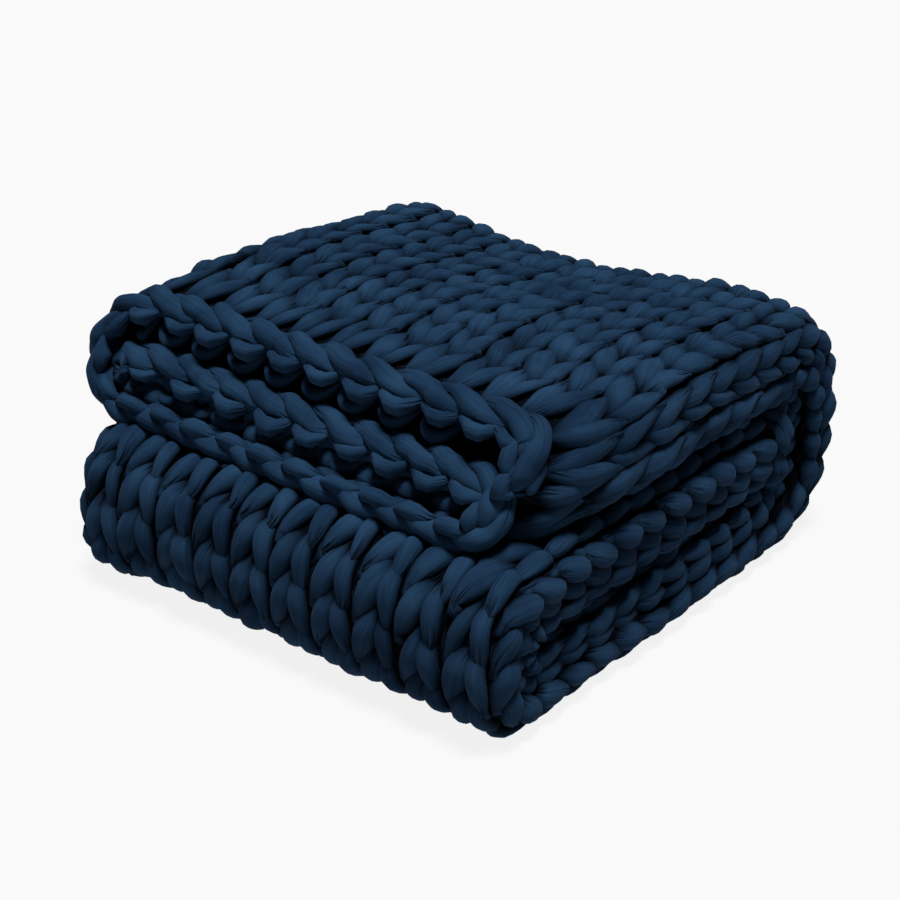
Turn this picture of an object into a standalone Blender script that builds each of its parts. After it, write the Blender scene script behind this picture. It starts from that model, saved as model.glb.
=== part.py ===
# A chunky hand-knitted weighted blanket, folded in three across its width into a long strip of
# three layers, and that strip folded in three again along its length. One cloth, so one solid.
# Metres, +Z up. X runs along the folded end that faces forward, Y runs back from it.
import math

import bmesh
import bpy
import numpy as np

for old in list(bpy.data.objects):
    bpy.data.objects.remove(old)

HEIGHT = 0.198  # of the folded stack
LAYER = 0.0178  # thickness of one knitted layer
CORNER = 0.0095  # radius at which the free side edge turns over, at mid-layer
RIB = 0.0035  # depth of the valley between two columns of stitches
INNER_START = 0.037  # from the left side to the free edge of the inner layer
END_TAPER = ((0.0, 0.5), (0.006, 0.85), (0.016, 1.0))  # from a free end: distance, share of LAYER
BUNDLE = 0.0585  # half the height of the lower, twice-laid part

# The strip's path seen from the side, from its free end at the top front to the one inside.
# A straight run has the y of its outer and inner face at its start and end, and both heights.
STRAIGHT = {
    "top": dict(start=(-0.150, -0.190), end=(0.130, 0.130), outer=HEIGHT, inner=0.1190),
    "bottom": dict(start=(0.130, 0.130), end=(-0.152, -0.152), outer=0.0, inner=0.0575),
    "middle": dict(start=(-0.152, -0.152), end=(0.130, 0.130), outer=2 * BUNDLE, inner=0.0595),
}
# A wrap turns half round: its centre, its reach in y, and the half-heights of both faces.
WRAP = {
    "rear": dict(y=0.130, turn=-1, outer=(0.083, HEIGHT / 2, HEIGHT / 2),
                 inner=(0.015, 0.03075, 0.08825)),
    "front": dict(y=-0.152, turn=1, outer=(-0.058, BUNDLE, BUNDLE),
                  inner=(-0.0025, 0.0010, BUNDLE)),
}
SQUARENESS = 2.5  # 2 is an ellipse, more is squarer
CENTRING = (0.0002, -0.0017)  # brings the middle of the base to the origin
ROUTE = (("top", 15), ("rear", 14), ("bottom", 9), ("front", 13), ("middle", 9))  # run, steps

# Each row is a place along the path: its left and right side, how far the free side edge hangs
# once it has turned over, how far the right fold lies behind that side, and how deep the inner
# layer lies, as a share of the strip's thickness.
PLACES = (
    # run, part of it, left, right, hang, behind, inner
    ("top", 0.00, -0.205, 0.200, 0.030, 0.0215, 0.60),
    ("top", 0.30, -0.207, 0.203, 0.040, 0.0215, 0.54),
    ("top", 1.00, -0.196, 0.199, 0.034, 0.0215, 0.52),
    ("rear", 0.50, -0.193, 0.196, 0.020, 0.0215, 0.575),
    ("rear", 0.90, -0.192, 0.197, 0.001, 0.0215, 0.50),
    ("bottom", 0.20, -0.192, 0.200, 0.001, 0.0020, 0.50),
    ("bottom", 1.00, -0.191, 0.203, 0.001, 0.0020, 0.50),
    ("front", 0.50, -0.195, 0.204, 0.001, 0.0040, 0.50),
    ("middle", 0.00, -0.188, 0.202, 0.001, 0.0020, 0.50),
    ("middle", 1.00, -0.190, 0.196, 0.001, 0.0030, 0.50),
)
# Soft hollows and swells of the top: centre, reach in x and y, and rise.
SETTLED = (
    # x, y, reach_x, reach_y, rise
    (-0.03, 0.17, 0.14, 0.14, -0.020),
    (-0.20, 0.05, 0.10, 0.28, 0.006),
    (0.20, 0.21, 0.07, 0.09, -0.007),
)


def along(table, run, part):
    """The values of PLACES at a part of a run, read between the two rows around it."""
    order = [name for name, _ in ROUTE]
    here = order.index(run) + part
    spots = [order.index(row[0]) + row[1] for row in table]
    return [float(np.interp(here, spots, [row[k] for row in table])) for k in range(2, 7)]


def squared(value):
    return math.copysign(abs(value) ** (2 / SQUARENESS), value)


def faces_at(run, part):
    """The (y, z) of the strip's outer and inner face at a part of a run."""
    if run in STRAIGHT:
        r = STRAIGHT[run]
        y = [a + (b - a) * part for a, b in zip(r["start"], r["end"])]
        return np.array([y[0], r["outer"]]), np.array([y[1], r["inner"]])
    r = WRAP[run]
    angle = math.radians(90 - 180 * part) * -r["turn"]
    both = []
    for reach, half, centre in (r["outer"], r["inner"]):
        y = r["y"] + reach * squared(math.cos(angle))
        both.append(np.array([y, centre + half * squared(math.sin(angle))]))
    return both


def middle_line(left, right, hang, behind, inner, thick):
    """The strip's section at mid-layer, as runs of (x, depth): hanging edge, its turn, top
    layer, left fold, bottom layer, right fold and inner layer."""
    top, low, mid = LAYER / 2, thick - LAYER / 2, thick * inner
    edge, fold = right - LAYER / 2, right - LAYER / 2 - behind
    bulge, turn = (low - top) / 2, (low - mid) / 2
    near = left + LAYER / 2 + bulge

    def arc(x, depth, reach, half, start, end):
        def at(t):
            a = math.radians(start + (end - start) * t)
            return x + reach * math.cos(a), depth - half * math.sin(a)
        return at

    def line(a, b):
        return lambda t: (a[0] + (b[0] - a[0]) * t, a[1] + (b[1] - a[1]) * t)

    return (
        line((edge, top + CORNER + hang), (edge, top + CORNER)),
        arc(edge - CORNER, top + CORNER, CORNER, CORNER, 0, 90),
        line((edge - CORNER, top), (near, top)),
        arc(near, (top + low) / 2, bulge, bulge, 90, 270),
        line((near, low), (fold - turn, low)),
        arc(fold - turn, (mid + low) / 2, turn, turn, -90, 90),
        line((fold - turn, mid), (left + INNER_START, mid)),
    )


WALES = (1, 0.5, 9.5, 1.5, 9, 0.5, 9)  # columns of stitches in each run of the section
KNIT_STEPS = (2, 2, 19, 5, 6, 4, 6)  # outline steps on the knit face of each run
PURL_STEPS = (2, 2, 6, 4, 6, 3, 5)  # and on its back
NUDGE = 0.01  # part of a run over which its direction is taken


def outline(section, steps, side, depth_of_valley):
    """One face of the section: middle point, outward direction, valley depth and column number
    of each point. side is 1 for the knit face and -1 for its back."""
    points, count = [], 0.0
    for run, step, wales in zip(section, steps, WALES):
        for k in range(step + (run is section[-1])):
            t = k / step
            a, b = (np.array(run(min(1.0, max(0.0, t + e)))) for e in (-NUDGE, NUDGE))
            forward = (b - a) / np.linalg.norm(b - a)
            outward = np.array([-forward[1], forward[0]])
            column = count + wales * t
            valley = depth_of_valley * (0.5 + 0.5 * math.cos(2 * math.pi * column))
            points.append((np.array(run(t)), outward * side, valley, column))
        count += wales
    return points


def settle(x, y, z):
    """Lowers or lifts a point with the hollows and swells of the top, more the higher it is."""
    rise = sum(
        up * math.exp(-(((x - cx) / rx) ** 2) - ((y - cy) / ry) ** 2)
        for cx, cy, rx, ry, up in SETTLED
    )
    return x + CENTRING[0], y + CENTRING[1], z * (1 + rise / HEIGHT)


def ring(run, part, thin, ribbed):
    """Both faces of the strip's section at a part of its path, as points in space."""
    outer, inner = faces_at(run, part)
    thick = float(np.linalg.norm(inner - outer))
    section = middle_line(*along(PLACES, run, part), thick)
    faces = []
    for steps, side, valley in ((KNIT_STEPS, 1, RIB if ribbed else 0.0), (PURL_STEPS, -1, 0.0)):
        points = []
        for middle, outward, dip, column in outline(section, steps, side, valley):
            x, depth = middle + outward * (LAYER / 2 - dip) * thin
            y, z = outer + (inner - outer) * depth / thick
            points.append((settle(x, y, z), column))
        faces.append(points)
    return faces


def close_end(mesh, knit, purl):
    """Fills a free end between its two faces, always stepping on the side that lags behind."""
    i = j = 0
    while i + 1 < len(knit) or j + 1 < len(purl):
        ahead = knit[i + 1][1] if i + 1 < len(knit) else math.inf
        back = purl[j + 1][1] if j + 1 < len(purl) else math.inf
        if ahead <= back:
            mesh.faces.new((knit[i][0], knit[i + 1][0], purl[j][0]))
            i += 1
        else:
            mesh.faces.new((knit[i][0], purl[j + 1][0], purl[j][0]))
            j += 1


def blanket():
    """Sweeps the section along the folded path and closes both free ends."""
    stops = []
    for run, steps in ROUTE:
        last = run == ROUTE[-1][0]
        stops += [(run, k / steps) for k in range(steps + last)]
    length = {name: abs(r["end"][0] - r["start"][0]) for name, r in STRAIGHT.items()}
    for back, _ in END_TAPER[1:]:
        stops.append(("top", back / length["top"]))
        stops.append(("middle", 1 - back / length["middle"]))
    order = [name for name, _ in ROUTE]
    stops.sort(key=lambda s: order.index(s[0]) + s[1])

    mesh = bmesh.new()
    rings = []
    for run, part in stops:
        ends = {"top": part, "middle": 1 - part}.get(run, 1.0) * length.get(run, 1.0)
        thin = float(np.interp(ends, *zip(*END_TAPER)))
        faces = ring(run, part, thin, run != "bottom")
        rings.append([[(mesh.verts.new(p), column) for p, column in face] for face in faces])
    for a, b in zip(rings, rings[1:]):
        a, b = ([v for v, _ in knit + purl[::-1]] for knit, purl in (a, b))
        for k in range(len(a)):
            n = (k + 1) % len(a)
            mesh.faces.new((a[k], a[n], b[n], b[k]))
    for end in (rings[0], rings[-1]):
        close_end(mesh, *end)
    bmesh.ops.recalc_face_normals(mesh, faces=mesh.faces)
    data = bpy.data.meshes.new("blanket")
    mesh.to_mesh(data)
    mesh.free()
    data.shade_smooth()
    data.set_sharp_from_angle(angle=math.radians(50))
    thing = bpy.data.objects.new("blanket", data)
    bpy.context.collection.objects.link(thing)
    return thing


def navy_jersey():
    """Matt cotton jersey yarn, dark navy."""
    material = bpy.data.materials.new("navy_jersey")
    material.use_nodes = True
    shader = material.node_tree.nodes["Principled BSDF"]
    shader.inputs["Base Color"].default_value = (0.008, 0.026, 0.070, 1)
    shader.inputs["Roughness"].default_value = 0.9
    shader.inputs["Metallic"].default_value = 0.0
    return material


blanket().data.materials.append(navy_jersey())
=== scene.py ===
# A chunky hand-knitted weighted blanket in navy cotton jersey yarn, folded in three across its
# width and in three again along its length. Metres, +Z up. Each knitted row is one yarn, laid
# out in loops on the folded cloth and skinned by Geometry Nodes.
import math

import bmesh
import bpy
import numpy as np
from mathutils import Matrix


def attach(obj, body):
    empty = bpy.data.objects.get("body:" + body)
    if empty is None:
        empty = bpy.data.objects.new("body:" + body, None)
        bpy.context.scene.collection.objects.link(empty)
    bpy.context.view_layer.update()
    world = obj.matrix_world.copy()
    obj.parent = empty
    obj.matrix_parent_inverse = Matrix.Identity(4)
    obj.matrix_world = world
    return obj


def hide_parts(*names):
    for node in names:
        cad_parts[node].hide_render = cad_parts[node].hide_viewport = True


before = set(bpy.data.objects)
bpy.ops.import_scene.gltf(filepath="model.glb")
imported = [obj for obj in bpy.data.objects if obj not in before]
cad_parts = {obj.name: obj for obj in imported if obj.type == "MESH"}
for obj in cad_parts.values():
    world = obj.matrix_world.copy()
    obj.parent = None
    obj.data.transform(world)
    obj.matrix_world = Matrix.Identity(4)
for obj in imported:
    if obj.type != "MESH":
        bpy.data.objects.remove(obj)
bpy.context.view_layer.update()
print("frame loaded")


# The strip's path seen from the side, from its free end at the top front to the one inside.
# A straight run has the y of its outer and inner face at its start and end, and both heights.
# A wrap turns half round its y. Each face has its reach in y, half its height and its middle.
path = {
    "top": dict(start=(-0.132, -0.170), end=(0.130, 0.130), outer=0.198, inner=0.1190),
    "rear": dict(y=0.130, turn=-1, outer=(0.083, 0.099, 0.099), inner=(0.015, 0.03075, 0.08825)),
    "bottom": dict(start=(0.130, 0.130), end=(-0.152, -0.152), outer=0.0, inner=0.0575),
    "front": dict(
        y=-0.152, turn=1, outer=(-0.058, 0.0585, 0.0585), inner=(-0.0025, 0.0010, 0.0585)
    ),
    "middle": dict(start=(-0.152, -0.152), end=(0.138, 0.138), outer=0.1170, inner=0.0595),
}
runNames = list(path)

cloth = {
    "layer": 0.0178,  # thickness of one layer
    "corner": 0.0095,  # radius at which the free side edge turns over
    "innerStart": 0.024,  # from the left side to the free edge of the inner layer
    "squareness": 2.5,  # of the wraps: 2 is an ellipse
    "centring": (0.0002, -0.0017),  # brings the middle of the base to the origin
    # run, part of it, left side, right side, how far the free edge hangs, how far the right fold
    # lies behind that side, how deep the inner layer lies as a share of the thickness, and the
    # width of a column
    "places": (
        ("top", 0.00, -0.208, 0.179, 0.026, 0.0140, 0.56, 0.0345),
        ("top", 0.10, -0.208, 0.191, 0.035, 0.0090, 0.54, 0.0345),
        ("top", 0.25, -0.209, 0.202, 0.043, 0.0045, 0.50, 0.0345),
        ("top", 1.00, -0.199, 0.197, 0.042, 0.0045, 0.48, 0.0345),
        ("rear", 0.50, -0.194, 0.196, 0.022, 0.0120, 0.56, 0.0350),
        ("rear", 0.90, -0.193, 0.194, 0.010, 0.0120, 0.50, 0.0355),
        ("bottom", 0.20, -0.191, 0.197, 0.008, 0.0040, 0.50, 0.0365),
        ("bottom", 1.00, -0.188, 0.199, 0.008, 0.0040, 0.50, 0.0366),
        ("front", 0.50, -0.186, 0.202, 0.006, 0.0040, 0.50, 0.0366),
        ("middle", 0.00, -0.187, 0.202, 0.008, 0.0040, 0.50, 0.0366),
        ("middle", 1.00, -0.190, 0.196, 0.008, 0.0040, 0.50, 0.0360),
    ),
    # soft hollows and swells of the top: x, y, reach in x and y, rise
    "settled": (
        (-0.03, 0.17, 0.14, 0.14, -0.020),
        (-0.20, 0.05, 0.10, 0.28, 0.006),
        (0.21, 0.21, 0.06, 0.09, -0.015),
        (-0.20, -0.15, 0.05, 0.07, -0.005),
    ),
    # where it bulges: centre, reach and shift
    "bulges": (
        ((-0.175, -0.195, 0.010), (0.045, 0.060, 0.035), (0.003, -0.010, 0.0)),
    ),
    "wales": 36,  # columns of stitches over the whole width
    "first": 14,  # columns of that width, from the hanging edge: the rest share what remains
    "spread": 0.006,  # off mid-layer, where the columns are equally wide
    "nudge": 0.001,  # off mid-layer, over which the outward directions are taken
    "perWale": 16,  # samples of the cloth in a column
    "perRun": 60,  # and along a run of the path
    "overrun": 0.12,  # part of a run by which the cloth is known past its two free ends
    "lastCell": 1.001,  # how near the last sample a place may come, in samples
}
waleCount = cloth["wales"]


def squared(value):
    return np.sign(value) * np.abs(value) ** (2 / cloth["squareness"])


def lengthTo(points):
    # how far each point of a line lies from its first one
    steps = np.linalg.norm(np.diff(points, axis=0), axis=1)
    return np.concatenate([[0.0], np.cumsum(steps)])


def facesOfPath():
    # (y, z) of the strip's outer and inner face, and the place values, at many stations
    outer, inner, spots = [], [], []
    for number, name in enumerate(runNames):
        run = path[name]
        first = -cloth["overrun"] if number == 0 else 0.0
        last = 1 + cloth["overrun"] if name == runNames[-1] else 1.0
        part = np.linspace(first, last, cloth["perRun"] + 1)[: None if last > 1 else -1]
        if "turn" in run:
            angle = -run["turn"] * np.radians(90 - 180 * part)
            for face, (reach, half, centre) in ((outer, run["outer"]), (inner, run["inner"])):
                y = run["y"] + reach * squared(np.cos(angle))
                face.append(np.stack([y, centre + half * squared(np.sin(angle))], 1))
        else:
            for k, face in enumerate((outer, inner)):
                y = run["start"][k] + (run["end"][k] - run["start"][k]) * part
                face.append(np.stack([y, np.full_like(y, run[("outer", "inner")[k]])], 1))
        spots.append(number + part)
    outer, inner, spots = np.concatenate(outer), np.concatenate(inner), np.concatenate(spots)
    rows = np.array([row[2:] for row in cloth["places"]])
    known = [runNames.index(row[0]) + row[1] for row in cloth["places"]]
    values = [np.interp(spots, known, rows[:, k])[:, None] for k in range(rows.shape[1])]
    return outer, inner, spots, values


def layAcross(column, left, right, hang, behind, share, width, thick):
    # x, depth and outward direction of mid-layer at each column of every station's section:
    # hanging edge, its turn, top layer, left fold, bottom layer, right fold and inner layer
    layer, corner = cloth["layer"], cloth["corner"]
    top, low, mid = layer / 2, thick - layer / 2, thick * share
    edge, fold = right - layer / 2, right - layer / 2 - behind
    bulge, turn = (low - top) / 2, (low - mid) / 2
    near, free = left + layer / 2 + bulge, left + cloth["innerStart"]
    wide = cloth["spread"]
    # each has its length, then its start and direction, or its centre, radius and two angles
    runs = (
        (hang, (edge, top + corner + hang), (0, -1)),
        (math.pi / 2 * (corner + wide), (edge - corner, top + corner), corner, 0, 90),
        (edge - corner - near, (edge - corner, top), (-1, 0)),
        (math.pi * (bulge + wide), (near, (top + low) / 2), bulge, 90, 270),
        (fold - turn - near, (near, low), (1, 0)),
        (math.pi * (turn + wide), (fold - turn, (mid + low) / 2), turn, -90, 90),
        (fold - turn - free, (fold - turn, mid), (-1, 0)),
    )
    even = width * np.minimum(column, cloth["first"])
    rest = sum(run[0] for run in runs) - width * cloth["first"]
    way = even + rest * np.maximum(column - cloth["first"], 0) / (waleCount - cloth["first"])
    x, depth, outX, outDepth = (np.zeros(way.shape) for _ in range(4))
    start = np.zeros_like(left)
    for length, (cx, cd), *facts in runs:
        gone = way - start
        if len(facts) == 1:
            (ax, ad), = facts
            found = (cx + ax * gone, cd + ad * gone, -ad + 0 * gone, ax + 0 * gone)
        else:
            radius, begin, end = facts
            a = np.radians(begin + (end - begin) * gone / length)
            found = (cx + radius * np.cos(a), cd - radius * np.sin(a), np.cos(a), -np.sin(a))
        for values, new in zip((x, depth, outX, outDepth), found):
            np.copyto(values, new, where=gone >= 0)
        start = start + length
    return x, depth, outX, outDepth


def clothGrid():
    # middle of the layer and outward direction over the whole cloth, and how far along the
    # strip each station lies, in metres and in runs
    outer, inner, spots, values = facesOfPath()
    thick = np.linalg.norm(inner - outer, axis=1)[:, None]
    column = np.arange(int(waleCount * cloth["perWale"]) + 1) / cloth["perWale"]
    x, depth, outX, outDepth = layAcross(column, *values, thick)

    def place(x, depth):
        share = (depth / thick)[..., None]
        yz = outer[:, None] + (inner - outer)[:, None] * share
        rise = sum(
            up * np.exp(-(((x - cx) / rx) ** 2) - ((yz[..., 0] - cy) / ry) ** 2)
            for cx, cy, rx, ry, up in cloth["settled"]
        )
        z = yz[..., 1] * (1 + rise / path["top"]["outer"])
        point = np.stack([x + cloth["centring"][0], yz[..., 0] + cloth["centring"][1], z], -1)
        for centre, reach, shift in cloth["bulges"]:
            near = np.exp(-(((point - centre) / reach) ** 2).sum(-1, keepdims=True))
            point = point + near * shift
        return point

    small = cloth["nudge"]
    middle = place(x, depth)
    out = place(x + outX * small, depth + outDepth * small) - middle
    out /= np.linalg.norm(out, axis=-1, keepdims=True)
    line = outer + (inner - outer) * (cloth["layer"] / 2 / thick)
    length = lengthTo(line)
    return middle, out, length - np.interp(0.0, spots, length), spots


gridMiddle, gridOut, gridLength, gridSpots = clothGrid()


def onCloth(along, column, height):
    # points and outward directions at a way along the strip, a column and a height off mid-layer
    row = np.interp(along, gridLength, np.arange(len(gridLength)))
    row = np.clip(row, 0, len(gridLength) - cloth["lastCell"])
    col = np.clip(column * cloth["perWale"], 0, gridMiddle.shape[1] - cloth["lastCell"])
    i, j = row.astype(int), col.astype(int)
    fi, fj = (row - i)[:, None], (col - j)[:, None]

    def blend(grid):
        near = grid[i, j] * (1 - fj) + grid[i, j + 1] * fj
        return near * (1 - fi) + (grid[i + 1, j] * (1 - fj) + grid[i + 1, j + 1] * fj) * fi

    out = blend(gridOut)
    out /= np.linalg.norm(out, axis=1, keepdims=True)
    return blend(gridMiddle) + out * height[:, None], out


def alongAt(run, part):
    return float(np.interp(runNames.index(run) + part, gridSpots, gridLength))


print("cloth laid out,", round(alongAt("middle", 1), 3), "m along the path")


class Wire:
    # one socket, with the sums that are used on it
    def __init__(self, maker, socket):
        self.maker, self.socket = maker, socket

    def sum(self, operation, other=None, flip=False, clamp=False):
        pair = (other, self) if flip else (self, other)
        settings = {"operation": operation, "use_clamp": clamp}
        return self.maker.add("ShaderNodeMath", settings, dict(enumerate(pair)))

    def __add__(self, other):
        return self.sum("ADD", other)

    def __sub__(self, other):
        return self.sum("SUBTRACT", other)

    def __rsub__(self, other):
        return self.sum("SUBTRACT", other, True)

    def __mul__(self, other):
        return self.sum("MULTIPLY", other)

    def __pow__(self, other):
        return self.sum("POWER", other)

    __radd__, __rmul__ = __add__, __mul__


class Maker:
    # adds a node of any type to a tree: the type, its settings, then what its sockets take
    def __init__(self, tree):
        self.tree = tree

    def add(self, kind, settings=None, sockets=None, out=0):
        node = self.tree.nodes.new(kind)
        for name, value in (settings or {}).items():
            if name == "stops":
                for element, (position, colour) in zip(node.color_ramp.elements, value):
                    element.position, element.color = position, colour
            else:
                setattr(node, name, value)
        for name, value in (sockets or {}).items():
            if isinstance(value, Wire):
                self.tree.links.new(value.socket, node.inputs[name])
            elif value is not None:
                node.inputs[name].default_value = value
        return Wire(self, node.outputs[out] if node.outputs else None)

    def vector(self, operation, a, b=None, scale=None, out=0):
        sockets = {0: a, 1: b, "Scale": scale}
        return self.add("ShaderNodeVectorMath", {"operation": operation}, sockets, out)

    def attribute(self, name, kind="FLOAT"):
        return self.add("GeometryNodeInputNamedAttribute", {"data_type": kind}, {"Name": name})

    def store(self, geometry, name, value, kind="FLOAT"):
        settings = {"data_type": kind, "domain": "POINT"}
        sockets = {"Geometry": geometry, "Name": name, "Value": value}
        return self.add("GeometryNodeStoreNamedAttribute", settings, sockets)


jersey = {
    "dark": (0.0039, 0.0124, 0.0290, 1),
    "light": (0.0107, 0.0306, 0.0640, 1),
    "paintedShadeColour": (0.00012, 0.0005, 0.0014, 1),  # painted shade: the colour in creases, in gaps and where yarns cross
    "darkAt": 0.36,  # of the mixed shade, where it is darkest and where lightest
    "lightAt": 0.66,
    "roughness": 0.90,
    "roughSpread": 0.2,
    "sheen": 0.015,
    "sheenRoughness": 0.45,
    "sheenTint": (0.35, 0.55, 1.0, 1),
    "specular": 0.02,
    # noise: how many per metre across and along the yarn, detail and roughness. The clouds are
    # slow changes of shade through the whole piece
    "streaks": ((520, 520, 22), 3.0, 0.6),
    "folds": ((150, 150, 11), 1.5, 0.5),
    "clouds": ((28, 28, 28), 2.0, 0.5),
    "cloudShare": 0.6,  # of the shade, and the streaks have the rest
    "grainBump": 0.0003,
    "foldLines": 9.0,  # more gives more creases side by side
    "foldThin": 3.0,  # more makes them thinner
    "foldStart": 0.06,  # how pinched the yarn is where they begin
    "foldGather": 2.2,  # how fast they deepen from there
    "foldBump": 0.0036,
    # painted shade in the creases
    "foldShade": 0.88,
    "pinchPower": 2.0,  # how late the painted shade comes where yarns cross, and how deep it is
    "pinchShade": 0.8,
    "gapMiddle": -0.001,  # height off mid-layer where the painted shade in the gaps is blackest
    "gap": (0.0050, 0.0122),  # how far from there that painted shade is black, and where it is gone
    "gapPower": 1.8,
    "gapShade": 0.98,
}


def navyJersey():
    material = bpy.data.materials.new("navyJersey")
    material.use_nodes = True
    tree = material.node_tree
    shader = tree.nodes["Principled BSDF"]
    m = Maker(tree)
    inYarn = m.add("ShaderNodeAttribute", {"attribute_name": "yarnSpace"}, out=1)
    pinch = m.add("ShaderNodeAttribute", {"attribute_name": "pinch"}, out=2)
    lifted = m.add("ShaderNodeAttribute", {"attribute_name": "lifted"}, out=2)
    inPiece = m.add("ShaderNodeTexCoord", out=3)

    def noise(where, scale, detail, rough):
        moved = m.add("ShaderNodeMapping", None, {"Vector": where, "Scale": scale})
        sockets = {"Vector": moved, "Scale": 1.0, "Detail": detail, "Roughness": rough}
        return m.add("ShaderNodeTexNoise", None, sockets)

    streaks = noise(inYarn, *jersey["streaks"])
    folds = noise(inYarn, *jersey["folds"])
    clouds = noise(inPiece, *jersey["clouds"])
    shade = clouds * jersey["cloudShare"] + streaks * (1 - jersey["cloudShare"])
    stops = ((jersey["darkAt"], jersey["dark"]), (jersey["lightAt"], jersey["light"]))
    colour = m.add("ShaderNodeValToRGB", {"stops": stops}, {"Fac": shade})

    # creases gathered where the yarn is pinched: a bump in the surface, and painted shade in them
    lines = (1 - (folds * jersey["foldLines"]).sum("SINE").sum("ABSOLUTE")) ** jersey["foldThin"]
    gathered = (pinch - jersey["foldStart"]).sum("MULTIPLY", jersey["foldGather"], clamp=True)
    creases = lines * gathered
    # painted shade where the yarns cross and are pinched
    crossingShade = pinch ** jersey["pinchPower"] * jersey["pinchShade"]

    # painted shade in the gaps between the yarns, near mid-layer, read from how high the surface
    # lies
    low, high = jersey["gap"]
    off = (lifted - jersey["gapMiddle"]).sum("ABSOLUTE")
    paintedGapShade = (high - off).sum("MULTIPLY", 1 / (high - low), clamp=True) ** jersey["gapPower"]
    # painted shade: creases, crossings and gaps darken the colour towards the painted shade colour
    paintedShadeAmount = (creases * jersey["foldShade"]).sum("MAXIMUM", crossingShade)
    paintedShadeAmount = paintedShadeAmount.sum("MAXIMUM", paintedGapShade * jersey["gapShade"])
    withPaintedShade = m.add("ShaderNodeMix", {"data_type": "RGBA"}, {
        0: paintedShadeAmount, 6: colour, 7: jersey["paintedShadeColour"],
    }, out=2)

    rough = jersey["roughness"] + (streaks - 0.5) * jersey["roughSpread"]
    height = streaks * jersey["grainBump"] - creases * jersey["foldBump"]
    bump = m.add("ShaderNodeBump", None, {"Strength": 1.0, "Distance": 1.0, "Height": height})
    for name, wire in (("Base Color", withPaintedShade), ("Roughness", rough), ("Normal", bump)):
        tree.links.new(wire.socket, shader.inputs[name])
    for name, value in (
        ("Sheen Weight", jersey["sheen"]), ("Sheen Roughness", jersey["sheenRoughness"]),
        ("Sheen Tint", jersey["sheenTint"]), ("Specular IOR Level", jersey["specular"]),
    ):
        shader.inputs[name].default_value = value
    return material


navy = navyJersey()
print("material made")


yarnForm = {
    "lobes": 3.0,  # soft ridges round it
    "lobeTurn": 90.0,  # how fast they wind along it, per metre
    "lobePinch": 6.0,  # how much they deepen where it is pinched
    "grainRadius": 0.008,  # at which its grain is laid round it
    "settledBelow": 0.004,  # height under which it flattens against the floor
    "settledOver": 0.006,  # less flattens it more
}


def yarnSkin():
    # sweeps a round section along each guide: girth, facing and pinch come with its points
    tree = bpy.data.node_groups.new("yarnSkin", "GeometryNodeTree")
    inputs = {}
    for name, kind in (
        ("Guides", "Geometry"), ("Sides", "Int"), ("Flatness", "Float"), ("Lobes", "Float"),
        ("Material", "Material"),
    ):
        socket = tree.interface.new_socket(name, in_out="INPUT", socket_type="NodeSocket" + kind)
        inputs[name] = socket.identifier
    tree.interface.new_socket("Yarn", in_out="OUTPUT", socket_type="NodeSocketGeometry")
    m = Maker(tree)
    group = m.add("NodeGroupInput").socket.node
    given = {socket.name: Wire(m, socket) for socket in group.outputs if socket.name}

    line = m.add("GeometryNodeMeshToCurve", None, {"Mesh": given["Guides"]})
    line = m.store(line, "centre", m.add("GeometryNodeInputPosition"), "FLOAT_VECTOR")
    facing = m.attribute("facing", "FLOAT_VECTOR")
    line = m.add("GeometryNodeSetCurveNormal", {"mode": "FREE"}, {"Curve": line, "Normal": facing})
    sockets = {"Resolution": given["Sides"], "Radius": 1.0}
    section = m.add("GeometryNodeCurvePrimitiveCircle", None, sockets)
    section = m.store(section, "around", m.add("GeometryNodeSplineParameter") * math.tau)
    sockets = {
        "Curve": line, "Profile Curve": section, "Scale": m.attribute("girth"), "Fill Caps": True,
    }
    skin = m.add("GeometryNodeCurveToMesh", None, sockets)

    around = m.attribute("around")
    centre = m.attribute("centre", "FLOAT_VECTOR")
    arm = m.vector("SUBTRACT", m.add("GeometryNodeInputPosition"), centre)
    lobes = around * yarnForm["lobes"] + m.attribute("runLength") * yarnForm["lobeTurn"]
    ridged = given["Lobes"] * (1 + m.attribute("pinch") * yarnForm["lobePinch"])
    arm = m.vector("SCALE", arm, scale=1 + lobes.sum("SINE") * ridged)
    rise = m.vector("DOT_PRODUCT", arm, facing, out=1)
    squash = m.vector("SCALE", facing, scale=rise * given["Flatness"])
    moved = m.vector("ADD", centre, m.vector("SUBTRACT", arm, squash))
    # its height off mid-layer, which the material reads for the painted shade in the gaps
    lifted = m.attribute("height") + rise * (1 - given["Flatness"])
    skin = m.add("GeometryNodeSetPosition", None, {"Geometry": skin, "Position": moved})
    inYarn = m.add("ShaderNodeCombineXYZ", None, {
        "X": around.sum("COSINE") * yarnForm["grainRadius"],
        "Y": around.sum("SINE") * yarnForm["grainRadius"],
        "Z": m.attribute("runLength"),
    })
    skin = m.store(skin, "yarnSpace", inYarn, "FLOAT_VECTOR")
    skin = m.store(skin, "lifted", lifted)
    skin = m.add("GeometryNodeSetShadeSmooth", None, {"Geometry": skin})
    skin = m.add("GeometryNodeRealizeInstances", None, {"Geometry": skin})
    sockets = {"Geometry": skin, "Material": given["Material"]}
    skin = m.add("GeometryNodeSetMaterial", None, sockets)
    m.add("NodeGroupOutput", None, {0: skin})
    return tree, inputs


skinTree, skinInputs = yarnSkin()


def inScene(name, data):
    thing = bpy.data.objects.new(name, data)
    bpy.context.scene.collection.objects.link(thing)
    return thing


def giveValues(data, label, values):
    # one value or vector for each point of a mesh
    kind, field = ("FLOAT", "value") if values.ndim == 1 else ("FLOAT_VECTOR", "vector")
    data.attributes.new(label, kind, "POINT").data.foreach_set(field, values.ravel())


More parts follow.
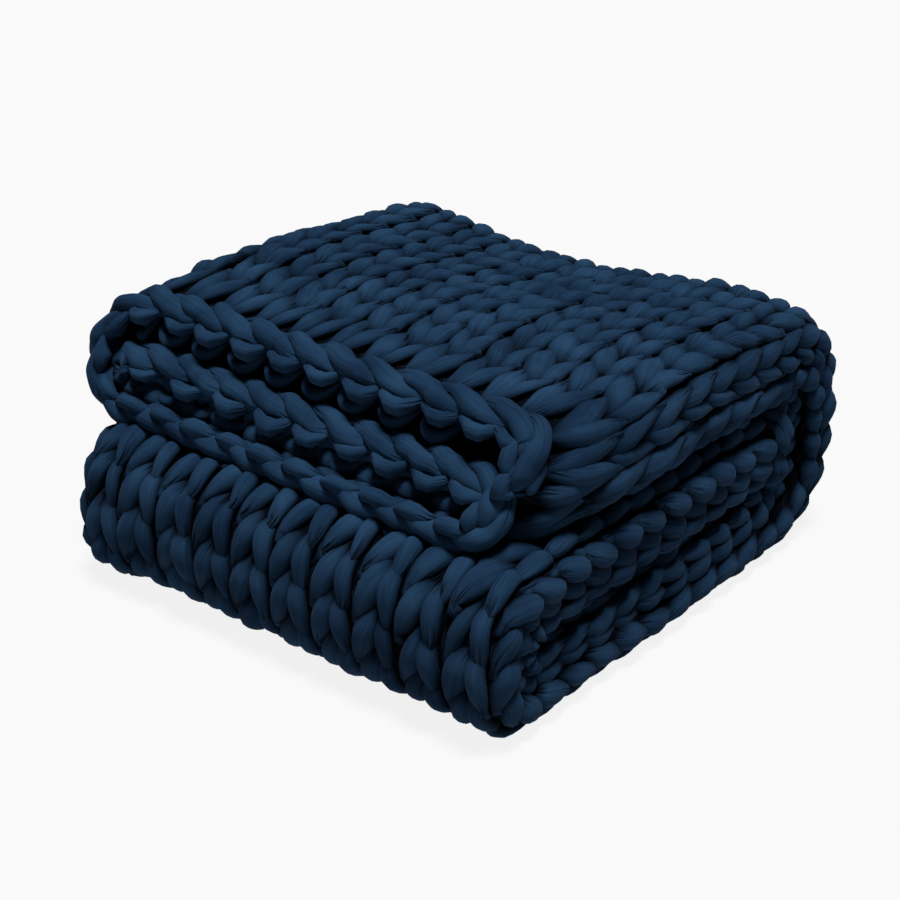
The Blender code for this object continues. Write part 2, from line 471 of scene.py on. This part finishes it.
def skinned(name, guides, sides, flatness, lobes):
    # guides: list of (points, outward directions, height off mid-layer, girth, pinch, run length)
    data = bpy.data.meshes.new(name + "Guides")
    sizes = [len(g[0]) for g in guides]
    starts = np.cumsum([0] + sizes[:-1])
    edges = np.concatenate([
        start + np.stack([np.arange(size - 1), np.arange(1, size)], 1)
        for start, size in zip(starts, sizes)
    ])
    points, facing, height, girth, pinch, runLength = (np.concatenate(c) for c in zip(*guides))
    data.from_pydata(points.tolist(), edges.tolist(), [])
    for label, values in (
        ("facing", facing), ("height", height), ("girth", girth), ("pinch", pinch),
        ("runLength", runLength),
    ):
        giveValues(data, label, values)
    guide = inScene(name + "Guide", data)
    modifier = guide.modifiers.new("yarn", "NODES")
    modifier.node_group = skinTree
    for label, value in (
        ("Sides", sides), ("Flatness", flatness), ("Lobes", lobes), ("Material", navy),
    ):
        modifier[skinInputs[label]] = value
    evaluated = guide.evaluated_get(bpy.context.evaluated_depsgraph_get())
    mesh = bpy.data.meshes.new_from_object(evaluated)
    mesh.name = name
    guide.modifiers.remove(modifier)
    bpy.data.objects.remove(guide)
    places = np.empty(len(mesh.vertices) * 3)
    mesh.vertices.foreach_get("co", places)
    z, floorAt = places[2::3], yarnForm["settledBelow"]
    pressed = floorAt * np.exp((z - floorAt) / yarnForm["settledOver"])
    places[2::3] = np.where(z < floorAt, pressed, z)
    mesh.vertices.foreach_set("co", places)
    piece = inScene(name, mesh)
    for label in ("centre", "around", "facing", "girth", "height"):
        mesh.attributes.remove(mesh.attributes[label])
    print(name, len(mesh.polygons), "faces")
    return piece


knit = {
    # from one row to the next: run, part, metres
    "rows": (
        ("top", 0.00, 0.0405),
        ("top", 0.20, 0.0400),
        ("top", 0.36, 0.0375),
        ("top", 0.49, 0.0330),
        ("top", 0.61, 0.0302),
        ("top", 1.00, 0.0298),
    ),
    "reach": 1.01,  # half the height of a loop, in rows
    "footAt": 0.348,  # columns from the middle of a foot to where its leg begins
    "legStart": 0.120,  # part of a stitch from the middle of a foot to where the leg begins
    "evenSlant": 0.6,  # share of a leg's slant that is even, and the rest is in its middle
    "depth": 0.0056,  # from mid-layer in to the heads and feet
    "crown": 0.0126,  # from mid-layer out to a leg's upper face
    "dive": 0.0100,  # how far a leg sinks towards its head
    "droop": 0.0040,  # and towards its foot
    "belly": (0.0089, 0.0069),  # radius of the left and the right leg at their fullest
    "back": 0.0072,  # radius of a head or a foot at its fullest
    "pinched": 0.0022,  # radius where the yarns cross
    "footPoint": 0.62,  # how pointed a leg is at its foot and at its head: lower is blunter
    "headPoint": 0.95,
    "backPoint": 0.8,  # and a head or a foot at its two ends
    "peak": 0.92,  # more moves a leg's fullest part towards its head
    "flatness": 0.18,  # share of its thickness that is pressed flat
    "lobes": 0.03,  # depth of its soft ridges, as a share of its radius
    "jitter": 0.0011,  # unevenness of the loops
    "liftShare": 0.5,  # of that unevenness, off the cloth
    "swell": 0.10,  # unevenness of the girth
    "perStitch": 27,  # points in a stitch, and in a hidden one
    "perHidden": 12,
    "crowding": 0.15,  # more puts more of those points on the legs
    "sides": 14,
    "hiddenSides": 6,
    "openHead": 0.14,  # part of a stitch that is open along a bound edge, so kept out of the painted gap shade
    "openLift": 0.03,  # metres by which that part counts as higher for the painted gap shade
    "grainStep": 1.7,  # metres of grain from one row to the next
    "endShare": 0.8,  # of the reach of a loop, from the last row to the end of the cloth
    "midGap": 0.035,  # between the two rows that start back to back under the base
    "fineStep": 2000,  # steps in which the rows are counted along the strip
    "seed": 11,
    "rowSeed": 101,
}
# How the columns shift and the loops lean along the strip.
drift = {
    "width": 0.0350,  # metres of shift that make a column
    "fade": 2.0,  # columns over which the shift dies out towards both side edges
    # run, part, sideways shift in metres, lean of the loops, and the columns from the middle of
    # a foot to where its leg ends at the head
    "places": (
        ("top", 0.0, -0.050, 0.12, 0.075),
        ("top", 0.13, -0.036, 0.12, 0.075),
        ("top", 0.28, -0.015, 0.04, 0.07),
        ("top", 0.45, -0.006, 0.03, 0.07),
        ("top", 0.60, -0.003, 0.00, 0.07),
        ("top", 1.0, -0.006, -0.08, 0.08),
        ("bottom", 0.5, 0.0, 0.05, 0.07),
        ("front", 0.0, 0.0, -0.12, 0.06),
        ("front", 1.0, 0.0, -0.18, 0.05),
        ("middle", 1.0, 0.0, -0.10, 0.06),
    ),
}


def rowAt(along):
    # distance between the rows at a way along the strip
    known = [runNames.index(row[0]) + row[1] for row in knit["rows"]]
    spot = np.interp(along, gridLength, gridSpots)
    return np.interp(spot, known, [row[2] for row in knit["rows"]])


def rowPlaces():
    # where each row lies along the strip, and which way it was worked
    base = alongAt("bottom", 0.5)
    fine = np.linspace(0.0, alongAt("middle", 1.0), knit["fineStep"])
    number = np.concatenate([[0.0], np.cumsum(np.diff(fine) / rowAt(fine[1:]))])
    rows = []
    for way, end in ((-1, 0.0), (1, fine[-1])):
        inset = way * knit["reach"] * float(rowAt(end)) * knit["endShare"]
        first, last = np.interp([base + way * knit["midGap"] / 2, end - inset], fine, number)
        count = round(abs(last - first)) + 1
        rows += [(float(np.interp(n, number, fine)), way) for n in np.linspace(first, last, count)]
    return sorted(rows)


# In what follows u is metres along the strip, s is columns across it and z is metres off
# mid-layer.
beats = 4  # random values in a column


def eased(value):
    return value * value * (3 - 2 * value)


def uneven(rng, s, size):
    # a smooth random run through those values
    count = waleCount * beats + beats + 2
    values = rng.normal(0, size, count)
    where = s * beats
    i = np.clip(where.astype(int), 0, count - 2)
    f = eased(where - i)
    return values[i] * (1 - f) + values[i + 1] * f


def shapeOfRow(s, headAt):
    # x in columns, y in rows and z in metres of a row's yarn, its girth and how pinched it is
    t = s % 1.0
    y = -knit["reach"] * np.cos(math.tau * t)
    start, even = knit["legStart"], knit["evenSlant"]
    side = np.where(t < 0.5, t, 1 - t)  # 0 at the foot, 0.25 at the leg, 0.5 at the head
    leg = (side > start) & (side < 0.5 - start)
    q = ((side - start) / (0.5 - 2 * start)).clip(0, 1)  # along the leg, from foot to head
    back = 1 - np.minimum(side, 0.5 - side).clip(0, start) / start  # 1 in mid-head and mid-foot
    turn = np.sin(math.pi / 2 * (1 - back))
    along = knit["footAt"] + (headAt - knit["footAt"]) * (even * q + (1 - even) * eased(q))
    ends = np.where(side < 0.25, knit["footAt"] * turn, 0.5 - (0.5 - headAt) * turn)
    column = np.where(leg, along, ends)
    x = np.where(t < 0.5, column, 1 - column) - t
    point = knit["footPoint"] + (knit["headPoint"] - knit["footPoint"]) * q
    legFull = np.sin(math.pi * q ** knit["peak"]).clip(0, 1) ** point
    full = np.where(leg, legFull, np.sin(math.pi / 2 * back) ** knit["backPoint"])
    fat = np.where(leg, np.where(t < 0.5, *knit["belly"]), knit["back"])
    girth = knit["pinched"] + (fat - knit["pinched"]) * full
    toHead, toFoot = eased((2 * q - 1).clip(0, 1)), eased((1 - 2 * q).clip(0, 1))
    sunk = knit["dive"] * toHead + knit["droop"] * toFoot
    onTop = knit["crown"] - (1 - knit["flatness"]) * girth - sunk
    pinch = knit["pinched"] * (1 - knit["flatness"])
    end = knit["crown"] - pinch - np.where(side < 0.25, knit["droop"], knit["dive"])
    z = np.where(leg, onTop, end - (knit["depth"] + end) * eased(back))
    return x, y, z, girth, 1 - full


driftSpots = [runNames.index(p[0]) + p[1] for p in drift["places"]]
driftShift, driftLean, driftHead = zip(*(p[2:] for p in drift["places"]))


def rowGuides(rows, first, last, perStitch):
    # the yarns of these rows, between two columns of the cloth
    guides = []
    for number, (at, way) in rows:
        rng = np.random.default_rng(knit["seed"] + knit["rowSeed"] * number)
        s = np.arange(first * perStitch, last * perStitch + 1) / perStitch
        s = s + knit["crowding"] * np.sin(2 * math.tau * s) / (2 * math.tau)
        here = np.interp(at, gridLength, gridSpots)
        headAt = np.interp(here, driftSpots, driftHead)
        x, y, z, girth, pinch = shapeOfRow(s, headAt)
        dx, dy, dz = (uneven(rng, s, knit["jitter"]) for _ in range(3))
        girth = girth * (1 + uneven(rng, s, knit["swell"]))
        y = y * rowAt(at)
        u = at + way * (y + dy)
        spot = np.interp(u, gridLength, gridSpots)
        shift = np.interp(spot, driftSpots, driftShift)
        lean = np.interp(spot, driftSpots, driftLean)
        inward = (1 - np.exp(-s / drift["fade"])) * (1 - np.exp((s - waleCount) / drift["fade"]))
        column = s + x + (dx + shift * inward + lean * way * y) / drift["width"]
        height = z + dz * knit["liftShare"]
        points, out = onCloth(u, np.clip(column, 0.0, waleCount), height)
        # along the bound edges the open heads count as higher, so the painted gap shade stays off
        # them
        if number in endRows:
            z = z + knit["openLift"] * (np.abs(s % 1.0 - 0.5) < knit["openHead"])
        runLength = lengthTo(points) + number * knit["grainStep"]
        guides.append((points, out, z, girth, pinch, runLength))
    return guides


allRows = list(enumerate(rowPlaces()))
endRows = (0, len(allRows) - 1)
print(len(allRows), "rows of", waleCount, "stitches")


def rowsBetween(start, end):
    a, b = alongAt(*start), alongAt(*end)
    return [row for row in allRows if a <= row[1][0] < b]


# Pieces by run of the path: from, to, and the columns that are made fine because they show.
sections = {
    "topRows": (("top", -0.2), ("top", 1.0), ((0, 16), (23, 28))),
    "rearRows": (("top", 1.0), ("rear", 1.0), ((0, 16), (23, 28))),
    "baseRows": (("rear", 1.0), ("bottom", 1.0), ((0, 2), (11, 15), (23, 27))),
    "frontRows": (("bottom", 1.0), ("front", 1.0), ((0, 15), (23, 27))),
    "middleRows": (("front", 1.0), ("middle", 1.2), ((0, 2), (10, 16), (23, 27))),
}
pieces = []
for name, (start, end, fine) in sections.items():
    rows = rowsBetween(start, end)
    marks = [0] + [mark for span in fine for mark in span] + [waleCount]
    coarse = [span for span in zip(marks[::2], marks[1::2]) if span[1] > span[0]]
    # the rows at the cloth's two ends show their backs in the open end, so they are fine throughout
    whole = [row for row in rows if row[0] in endRows]
    parted = [row for row in rows if row[0] not in endRows]
    shown = [(parted, *span) for span in fine] + [(whole, 0, waleCount)]
    hidden = [(parted, *span) for span in coarse]
    for label, jobs, perStitch, sides in (
        ("", shown, knit["perStitch"], knit["sides"]),
        ("Inside", hidden, knit["perHidden"], knit["hiddenSides"]),
    ):
        guides = [guide for job in jobs for guide in rowGuides(*job, perStitch)]
        pieces.append(skinned(name + label, guides, sides, knit["flatness"], knit["lobes"]))


bound = {
    "strands": 3,
    "pitch": 3.0,  # columns for one turn of a strand
    "coil": 0.0044,  # radius of the twist
    "plumpAt": 1.2,  # where in its turn a strand is plumpest: 0 up, half of pi away from the cloth
    "roundness": 0.65,  # less keeps it plump for longer
    "belly": 0.0086,
    "pinched": 0.0036,
    "crease": 0.8,  # how deeply it creases where it is pinched
    "jitter": 0.0006,
    "swell": 0.06,
    "perTurn": 54,
    "sides": 14,
    "flatness": 0.10,
    "lobes": 0.03,
    "raise": 0.004,  # off mid-layer
    "bright": 0.012,  # metres by which it counts as higher for the painted gap shade, so only its deepest parts take that shade
    "taper": 0.55,  # columns over which it closes at its two ends
    "closed": 0.02,  # how far it stays open there
    "past": -0.002,  # beyond the cloth's end
    "seed": 18,
    "strandSeed": 5,
}


def boundEdge(name, at, way):
    guides = []
    shut = bound["closed"]
    for strand in range(bound["strands"]):
        rng = np.random.default_rng(bound["seed"] + strand * bound["strandSeed"])
        count = int(waleCount / bound["pitch"] * bound["perTurn"])
        s = np.linspace(0.0, waleCount, count)
        turn = math.tau * (s / bound["pitch"] + strand / bound["strands"])
        full = (0.5 + 0.5 * np.cos(turn + bound["plumpAt"])).clip(0, 1) ** bound["roundness"]
        u = at - way * bound["coil"] * np.sin(turn) + uneven(rng, s, bound["jitter"])
        z = bound["raise"] + bound["coil"] * np.cos(turn) + uneven(rng, s, bound["jitter"])
        points, out = onCloth(u, s, z)
        girth = bound["pinched"] + (bound["belly"] - bound["pinched"]) * full
        ends = np.minimum(s, waleCount - s).clip(0, bound["taper"]) / bound["taper"]
        opened = np.sqrt(shut + (1 - shut) * ends * (2 - ends))
        girth = girth * (1 + uneven(rng, s, bound["swell"])) * opened
        pinch = (1 - full) * bound["crease"]
        guides.append((points, out, z + bound["bright"], girth, pinch, lengthTo(points)))
    return skinned(name, guides, bound["sides"], bound["flatness"], bound["lobes"])


pieces.append(boundEdge("boundEdge", -bound["past"], -1))
pieces.append(boundEdge("boundEdgeInside", alongAt("middle", 1.0) + bound["past"], 1))

# On the back of the cloth, the loops that the bound edge was pulled through: below each of its
# segments a plump one, and round that a slack one like a bowl.
bowls = {
    # first and last column, and radius of the plump loops
    "spans": ((3, 12, 0.0092), (13, 24, 0.0088), (28, 36, 0.0092)),
    "middle": 0.42,  # of a loop in its column
    "plump": {
        "reach": 0.40,  # half its length, in columns
        "depth": -0.0072,  # off mid-layer
        "rise": 0.003,  # and how much less at its two ends
        "inset": 0.0075,  # from the cloth's end
        "tuck": 0.005,  # and how much more at its two ends
        "pinched": 0.0022,
        "roundness": 0.5,
        "crease": 0.7,
    },
    "slack": {
        "shift": -0.05,  # from the plump one, in columns
        "turn": 105,  # degrees to each side of its lowest point
        "reach": 0.35,
        "depth": -0.0225,
        "drop": 0.011,  # radius of its curve, seen from the cloth's end
        "inset": 0.0035,
        "tuck": 0.006,
        "radius": 0.0048,
        "pinched": 0.0026,
        "roundness": 0.45,
        "crease": 0.6,
    },
    # the small knot where the yarn ends
    "knot": {
        "column": 35.9,
        "reach": 0.19,  # in columns
        "radius": 0.0068,
        "yarn": 0.0066,
        "turn": (-0.8, 6.6),  # in radians
        "steps": 40,
        "past": 0.001,  # beyond the cloth's end
        "tilt": 0.004,
        "tiltTurn": 0.5,
        "depth": -0.003,
        "thin": 0.45,  # share of its radius at its two ends
        "roundness": 0.5,
        "crease": (0.25, 0.5),  # everywhere, and more at each of its bends
        "bends": 1.5,
        "bendPower": 3,
    },
    "jitter": (0.03, 0.0008, 0.05),  # of the place in columns, the depth, and the girth
    "bright": 0.026,  # metres by which they count as higher for the painted gap shade, which keeps that shade off
    "grainStep": 0.37,  # metres of grain from one to the next
    "steps": 26,
    "sides": 14,
    "flatness": 0.0,
    "lobes": 0.05,
    "seed": 88,
}


def loopGuide(u, s, height, girth, pinch):
    points, out = onCloth(u, s.clip(0, waleCount), height)
    runLength = lengthTo(points) + float(s[0]) * bowls["grainStep"]
    return points, out, np.full(len(s), bowls["bright"]), girth, pinch, runLength


def knotGuide(knot):
    angle = np.linspace(*knot["turn"], knot["steps"])
    ramp = np.sin(math.pi * np.linspace(0, 1, knot["steps"])) ** knot["roundness"]
    girth = knot["yarn"] * (knot["thin"] + (1 - knot["thin"]) * ramp)
    u = -(knot["past"] + knot["tilt"] * np.sin(angle * knot["tiltTurn"]))
    s = knot["column"] - knot["reach"] + knot["reach"] * np.cos(angle)
    height = knot["radius"] * np.sin(angle) + knot["depth"]
    least, more = knot["crease"]
    pinch = least + more * np.abs(np.sin(angle * knot["bends"])) ** knot["bendPower"]
    return loopGuide(u, s, height, girth, pinch)


def bowlsUnder(name):
    guides = []
    rng = np.random.default_rng(bowls["seed"])
    plump, slack = bowls["plump"], bowls["slack"]
    placeJitter, depthJitter, girthJitter = bowls["jitter"]
    t = np.linspace(-1, 1, bowls["steps"])
    full = (1 - t * t).clip(0, 1)
    for first, last, radius in bowls["spans"]:
        for column in range(first, last):
            middle = column + bowls["middle"] + rng.normal(0, placeJitter)
            s = middle + plump["reach"] * t
            height = plump["depth"] + plump["rise"] * t * t + rng.normal(0, depthJitter)
            u = plump["inset"] + plump["tuck"] * t * t
            grown = radius * (1 + rng.normal(0, girthJitter)) - plump["pinched"]
            girth = plump["pinched"] + grown * full ** plump["roundness"]
            guides.append(loopGuide(u, s, height, girth, 1 - full ** plump["crease"]))

            angle = np.radians(slack["turn"]) * t
            s = middle + slack["shift"] + slack["reach"] * np.sin(angle)
            height = slack["depth"] + slack["drop"] * (1 - np.cos(angle))
            u = slack["inset"] + slack["tuck"] * t * t
            grown = slack["radius"] - slack["pinched"]
            girth = slack["pinched"] + grown * full ** slack["roundness"]
            guides.append(loopGuide(u, s, height, girth, 1 - full ** slack["crease"]))
    guides.append(knotGuide(bowls["knot"]))
    return skinned(name, guides, bowls["sides"], bowls["flatness"], bowls["lobes"])


pieces.append(bowlsUnder("bowls"))


# Mid-layer, a close web that stands for the yarns that cross between the two faces. It also carries
# painted shade: coloured all in the darkest painted shade, it makes the openings between the
# stitches look black.
web = {
    "half": 0.0020,  # half its thickness
    "inset": 0.004,  # from the cloth's two ends
    "firstColumn": 0.1,
    "step": 0.012,  # along the strip
    "columns": 0.5,  # and across it
}


def crossingYarnShadeWeb(name):
    u = np.arange(web["inset"], alongAt("middle", 1.0) - web["inset"], web["step"])
    s = np.arange(web["firstColumn"], waleCount, web["columns"])
    across, down = np.meshgrid(s, u)
    count = across.size
    verts = np.concatenate([
        onCloth(down.ravel(), across.ravel(), np.full(count, side * web["half"]))[0]
        for side in (1, -1)
    ])
    index = np.arange(count).reshape(across.shape)
    a, b = index[:-1, :-1].ravel(), index[:-1, 1:].ravel()
    c, d = index[1:, 1:].ravel(), index[1:, :-1].ravel()
    faces = np.concatenate([np.stack([a, b, c, d], 1), np.stack([d, c, b, a], 1) + count])
    rim = np.concatenate([index[0], index[1:, -1], index[-1, -2::-1], index[-2:0:-1, 0]])
    after = np.roll(rim, -1)
    faces = np.concatenate([faces, np.stack([after, rim, rim + count, after + count], 1)])
    mesh = bpy.data.meshes.new(name)
    mesh.from_pydata(verts.tolist(), [], faces.tolist())
    # full pinch and a height at mid-layer give the whole web the darkest painted shade
    giveValues(mesh, "pinch", np.ones(2 * count))
    giveValues(mesh, "lifted", np.zeros(2 * count))
    giveValues(mesh, "yarnSpace", verts)
    mesh.materials.append(navy)
    mesh.shade_smooth()
    check = bmesh.new()
    check.from_mesh(mesh)
    bmesh.ops.recalc_face_normals(check, faces=check.faces)
    check.to_mesh(mesh)
    check.free()
    piece = inScene(name, mesh)
    print(name, len(mesh.polygons), "faces")
    return piece


pieces.append(crossingYarnShadeWeb("crossingYarnShadeWeb"))

for piece in pieces:
    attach(piece, "root")
    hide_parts("blanket")


studio = {
    "floorHalf": 6,  # metres from its middle to a side
    "floor": (0.04, 0.04, 0.04, 1),
    "floorGlow": 0.865,
    "white": (1, 1, 1, 1),
    "world": 0.08,  # brightness of the light from all round
    "sun": 6.6,
    "sunLean": (4, 9),  # degrees about X and Y
    "sunSpread": 16,  # degrees that it spans
}

paper = bpy.data.materials.new("paleFloor")
paper.use_nodes = True
for socket, value in (
    ("Base Color", studio["floor"]), ("Roughness", 1.0), ("Specular IOR Level", 0.0),
    ("Emission Color", studio["white"]), ("Emission Strength", studio["floorGlow"]),
):
    paper.node_tree.nodes["Principled BSDF"].inputs[socket].default_value = value
far = studio["floorHalf"]
floorMesh = bpy.data.meshes.new("floor")
floorMesh.from_pydata(
    [(-far, -far, 0), (far, -far, 0), (far, far, 0), (-far, far, 0)], [], [(0, 1, 2, 3)]
)
floorMesh.materials.append(paper)
floor = inScene("floor", floorMesh)

world = bpy.data.worlds.new("studio")
world.use_nodes = True
world.node_tree.nodes["Background"].inputs["Color"].default_value = studio["white"]
world.node_tree.nodes["Background"].inputs["Strength"].default_value = studio["world"]
bpy.context.scene.world = world
bpy.context.scene.view_settings.view_transform = "Standard"

sun = inScene("sun", bpy.data.lights.new("sun", "SUN"))
sun.data.energy, sun.data.angle = studio["sun"], math.radians(studio["sunSpread"])
sun.rotation_euler = [math.radians(lean) for lean in (*studio["sunLean"], 0)]

view = {
    "place": (0.8061, -0.9867, 0.6835),
    "azimuth": 39.4644,  # degrees
    "down": 25.4274,  # degrees below level
    "lens": 76.93,  # millimetres
    "sensor": 36,  # its width in millimetres
}
camera = inScene("camera", bpy.data.cameras.new("camera"))
camera.location = view["place"]
camera.rotation_euler = (math.radians(90 - view["down"]), 0, math.radians(view["azimuth"]))
camera.data.lens, camera.data.sensor_width = view["lens"], view["sensor"]
bpy.context.scene.camera = camera
print("stage set")
